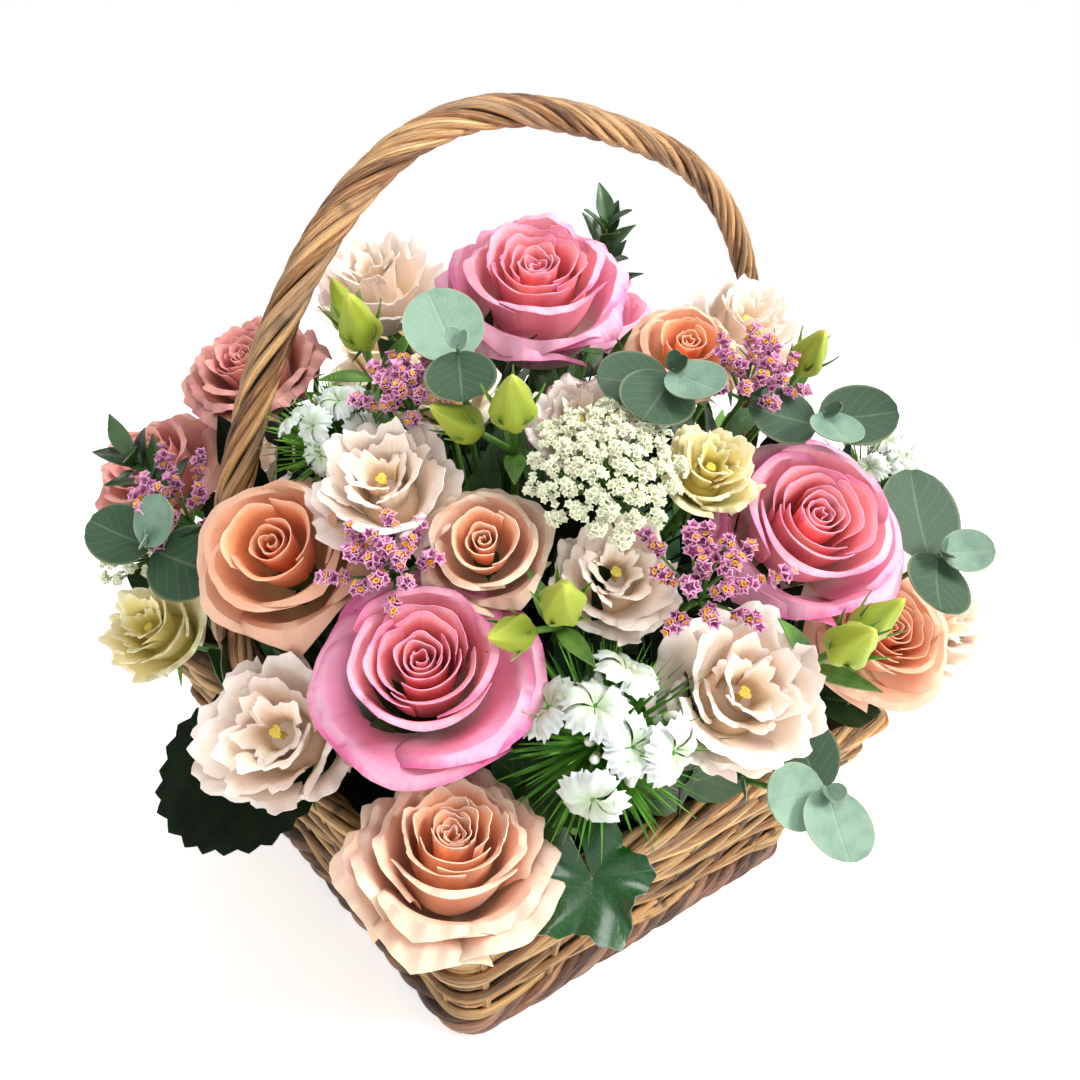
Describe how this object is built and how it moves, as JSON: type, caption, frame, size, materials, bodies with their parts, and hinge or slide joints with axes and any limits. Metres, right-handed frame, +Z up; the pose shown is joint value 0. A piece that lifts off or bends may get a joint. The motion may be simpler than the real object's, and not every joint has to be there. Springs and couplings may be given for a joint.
{
  "type": "flower basket arrangement",
  "caption": "Cut flowers, buds and leaves set in foam in a tapered rectangular willow basket with a tall twisted arch handle.",
  "frame": {"origin": "middle of the basket's underside, on the surface it stands on", "axes": "+X along the longer side of the rim, in the plane of the handle; +Y across the basket, to the back; +Z up. The arrangement looks towards -X -Y."},
  "size_m": [0.4491, 0.4189, 0.3725],
  "materials": {
    "willow": "peeled and unpeeled willow rods, matt",
    "willow_dark": "willow rods, matt",
    "tray": "thin moulded tray",
    "foam": "wet floral foam, matt",
    "rose_pink": "fresh petals, soft sheen",
    "rose_peach": "fresh petals, soft sheen",
    "rose_salmon": "fresh petals, soft sheen",
    "rose_cream": "fresh petals, soft sheen",
    "lisianthus_blush": "thin ruffled petals",
    "lisianthus_yellow": "thin ruffled petals",
    "lisianthus_edged": "thin ruffled petals with a dark edge",
    "dianthus": "white toothed florets with green bracts",
    "limonium": "papery cups",
    "umbel": "tiny cream florets",
    "eucalyptus": "waxy round leaves",
    "bud": "closed buds and green stems",
    "pistacia": "dark pointed leaves",
    "galax": "dark leathery leaf",
    "ivy": "glossy dark leaf"
  },
  "bodies": {
    "root": {"basket_walls": "willow", "basket_floor": "willow_dark", "basket_border": "willow", "basket_handle": "willow", "water_tray": "tray", "floral_foam": "foam", "rose_pink_front": "rose_pink", "rose_peach_front": "rose_peach", "rose_pink_top": "rose_pink", "rose_pink_right": "rose_pink", "rose_pink_left": "rose_pink", "rose_peach_left": "rose_peach", "rose_salmon": "rose_salmon", "rose_peach_right": "rose_peach", "rose_peach_small": "rose_peach", "rose_peach_upper": "rose_peach", "rose_cream_mid": "rose_cream", "rose_cream_back": "rose_cream", "rose_pink_back": "rose_pink", "rose_peach_back": "rose_peach", "lisianthus_upper_left": "lisianthus_blush", "lisianthus_low_left": "lisianthus_blush", "lisianthus_middle": "lisianthus_blush", "lisianthus_low_right": "lisianthus_blush", "lisianthus_top_right": "lisianthus_blush", "lisianthus_top_left": "lisianthus_blush", "lisianthus_yellow_mid": "lisianthus_yellow", "lisianthus_yellow_left": "lisianthus_yellow", "lisianthus_far_right": "lisianthus_blush", "lisianthus_edged": "lisianthus_edged", "lisianthus_back_right": "lisianthus_blush", "lisianthus_back": "lisianthus_blush", "dianthus_front": "dianthus", "dianthus_left": "dianthus", "dianthus_right": "dianthus", "dianthus_back": "dianthus", "limonium_left": "limonium", "limonium_middle": "limonium", "limonium_front": "limonium", "limonium_upper": "limonium", "limonium_right": "limonium", "umbel_middle": "umbel", "umbel_left": "umbel", "eucalyptus_top": "eucalyptus", "eucalyptus_middle": "eucalyptus", "eucalyptus_upper_right": "eucalyptus", "eucalyptus_right": "eucalyptus", "eucalyptus_left": "eucalyptus", "eucalyptus_low": "eucalyptus", "eucalyptus_back": "eucalyptus", "buds_top_left": "bud", "buds_upper": "bud", "buds_middle": "bud", "buds_right": "bud", "buds_top_right": "bud", "pistacia_top": "pistacia", "pistacia_left": "pistacia", "galax_left": "galax", "galax_back": "galax", "ivy_front": "ivy"}
  },
  "joints": []
}
